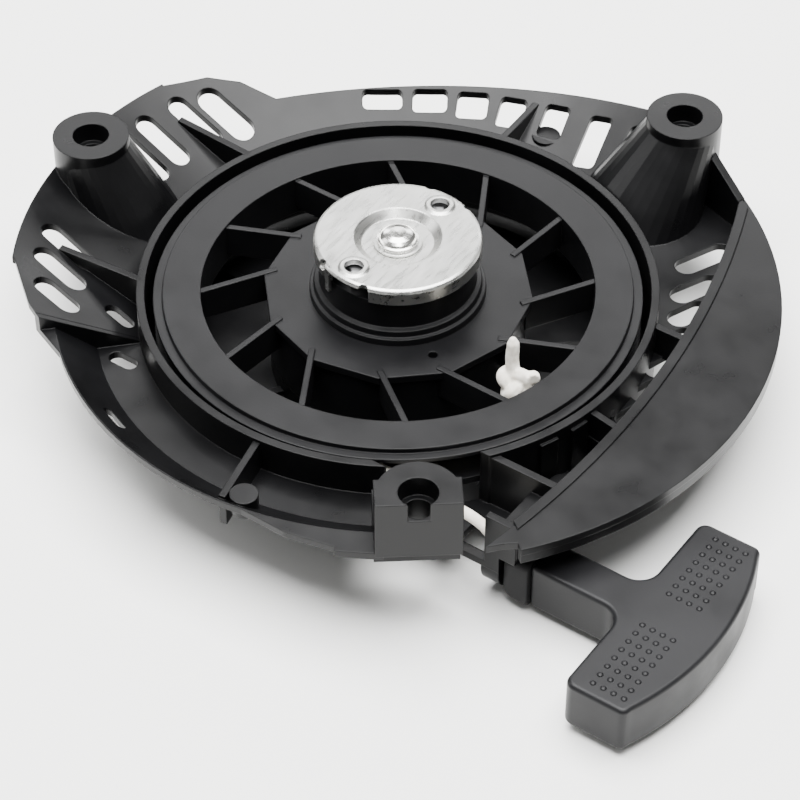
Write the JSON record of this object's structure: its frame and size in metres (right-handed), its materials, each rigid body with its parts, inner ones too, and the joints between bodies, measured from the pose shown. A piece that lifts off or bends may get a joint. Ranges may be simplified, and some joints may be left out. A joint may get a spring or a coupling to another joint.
{
  "type": "recoil starter",
  "caption": "Recoil starter with a moulded dish housing, rope reel, pawl ratchet under a steel plate, and a pull rope with a T-shaped handle.",
  "frame": {"origin": "on the reel's axis, at the housing's outer resting face", "axes": "+Z along the reel's axis towards the engine side, +X the direction in which the rope is pulled"},
  "size_m": [0.245, 0.1993, 0.049],
  "materials": {
    "housing_plastic": "satin black moulded nylon",
    "reel_plastic": "satin black moulded nylon",
    "grip_plastic": "fine-grained black moulded plastic",
    "grip_rubber": "matt",
    "plated_steel": "bright zinc plated",
    "spring_steel": "oiled blue-grey strip",
    "pawl_steel": "case-hardened",
    "insert_brass": "machined",
    "rope_fabric": "braided off-white cord"
  },
  "bodies": {
    "housing": {"housing": "housing_plastic", "centre_insert": "insert_brass", "recoil_spring": "spring_steel", "rope_run": "rope_fabric", "rope_eyelet": "plated_steel", "screw_washer": "plated_steel", "centre_screw": "plated_steel"},
    "reel": {"reel": "reel_plastic", "spring_case": "reel_plastic", "pawl_hub": "reel_plastic", "rope_winding": "rope_fabric", "reel_knot": "rope_fabric", "pawl_spring_a": "spring_steel", "pawl_spring_b": "spring_steel"},
    "plate": {"retainer_plate": "plated_steel", "friction_spring": "spring_steel"},
    "pawl_a": {"pawl_a": "pawl_steel"},
    "pawl_b": {"pawl_b": "pawl_steel"},
    "handle": {"handle_grip": "grip_plastic", "grip_collar": "grip_rubber", "grip_cap": "grip_plastic", "grip_reinforcement": "plated_steel", "handle_rope": "rope_fabric", "handle_knot": "rope_fabric"}
  },
  "joints": [
    {"name": "reel_spin", "type": "hinge", "parent": "housing", "child": "reel", "pos_m": [0, 0, 0.03], "axis": [0, 0, 1], "range_deg": [0, 1080], "stiffness_Nm_per_rad": 0.02, "springref_deg": -687.55},
    {"name": "handle_pull", "type": "slide", "parent": "housing", "child": "handle", "axis": [1, 0, 0], "range_m": [0, 1.105]},
    {"name": "plate_turn", "type": "hinge", "parent": "reel", "child": "plate", "pos_m": [0, 0, 0.0455], "axis": [0, 0, -1], "range_deg": [0, 15], "stiffness_Nm_per_rad": 0.01, "springref_deg": -17.19},
    {"name": "pawl_a_swing", "type": "hinge", "parent": "reel", "child": "pawl_a", "pos_m": [-0.00996, -0.01187, 0.044], "axis": [0, 0, -1], "range_deg": [0, 38]},
    {"name": "pawl_b_swing", "type": "hinge", "parent": "reel", "child": "pawl_b", "pos_m": [0.00996, 0.01187, 0.044], "axis": [0, 0, -1], "range_deg": [0, 38]}
  ],
  "couplings": [
    {"joint": "handle_pull", "follows": "reel_spin", "m_per_rad": 0.0585},
    {"joint": "pawl_a_swing", "follows": "plate_turn", "ratio": 2.5},
    {"joint": "pawl_b_swing", "follows": "plate_turn", "ratio": 2.5}
  ]
}
